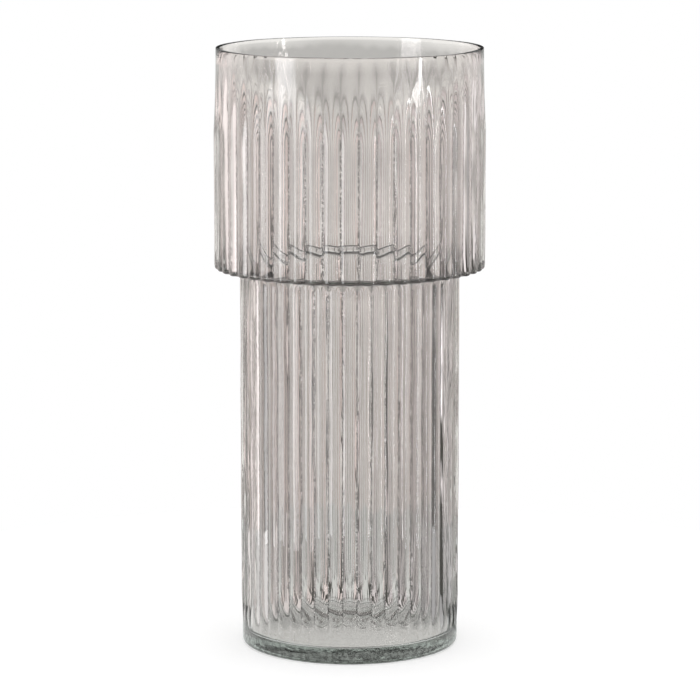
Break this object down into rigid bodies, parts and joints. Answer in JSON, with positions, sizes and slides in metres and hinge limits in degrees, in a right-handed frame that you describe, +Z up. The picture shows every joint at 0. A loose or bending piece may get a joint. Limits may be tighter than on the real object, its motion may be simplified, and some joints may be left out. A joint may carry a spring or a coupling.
{
  "type": "glass cylinder vase",
  "caption": "Stepped ribbed glass cylinder vase: a narrow ribbed body that steps out to a wider ribbed collar with an open mouth, on a thick base.",
  "frame": {"origin": "centre of the circle that the vase stands on, on the table", "axes": "+Z up along the vase's axis, from the base to the mouth; a rib crest lies on +X; the vase is round, so X and Y are otherwise free"},
  "size_m": [0.18, 0.18, 0.4],
  "materials": {
    "smoked_glass": "clear smoky grey soda-lime glass with a faint warm cast, fire-polished",
    "thick_glass": "the same glass seen through a thick section, darker and faintly green, fire-polished"
  },
  "bodies": {
    "root": {"base": "thick_glass", "body_wall": "smoked_glass", "step_ring": "smoked_glass", "collar_wall": "smoked_glass", "lip": "smoked_glass"}
  },
  "joints": []
}
